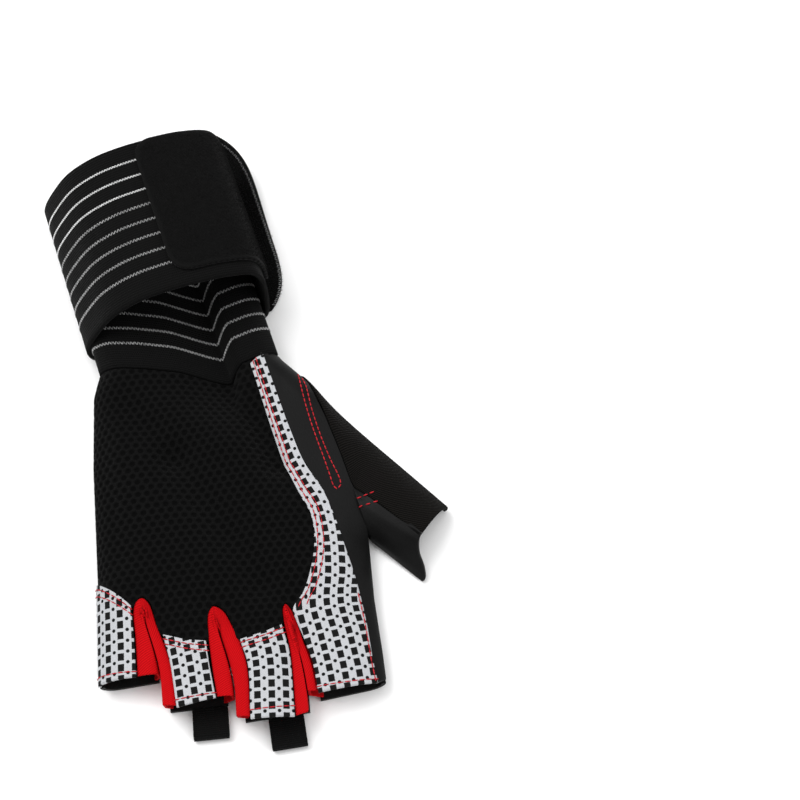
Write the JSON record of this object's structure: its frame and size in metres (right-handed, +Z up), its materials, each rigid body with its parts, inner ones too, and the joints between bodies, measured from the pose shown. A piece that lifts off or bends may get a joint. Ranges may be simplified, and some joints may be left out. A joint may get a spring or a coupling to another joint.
{
  "type": "weightlifting glove",
  "caption": "Half-finger weightlifting glove for the right hand with mesh back, checked finger panels, stretch gussets, leather palm and long elastic wrist strap, lying palm down.",
  "frame": {"origin": "underside of the palm, on the surface that the glove lies on", "axes": "+Y along the hand to the wrist, +X to the thumb side, +Z up out of the back of the hand"},
  "size_m": [0.1492, 0.258, 0.048],
  "materials": {
    "leather": "smooth matt black synthetic leather",
    "mesh_fabric": "black spacer mesh with open cells",
    "checked_fabric": "silver white fabric with woven black checks",
    "red_stretch": "red stretch fabric with fine ribs",
    "knit": "black ribbed knit",
    "elastic": "black elastic webbing with pale threads",
    "pile": "black loop pile",
    "hook_leather": "matt black leather lined with fine hooks",
    "tape": "flat black woven tape"
  },
  "bodies": {
    "root": {"palm_leather": "leather", "side_leather": "leather", "back_mesh": "mesh_fabric", "index_panel": "checked_fabric", "middle_panel": "checked_fabric", "ring_panel": "checked_fabric", "little_panel": "checked_fabric", "gusset_1": "red_stretch", "gusset_2": "red_stretch", "gusset_3": "red_stretch", "thumb_knit": "knit", "thumb_leather": "leather", "wrist_strap": "elastic", "loop_patch": "pile", "hook_tab": "hook_leather", "pull_tab_ring": "tape", "pull_tab_middle": "tape"}
  },
  "joints": []
}
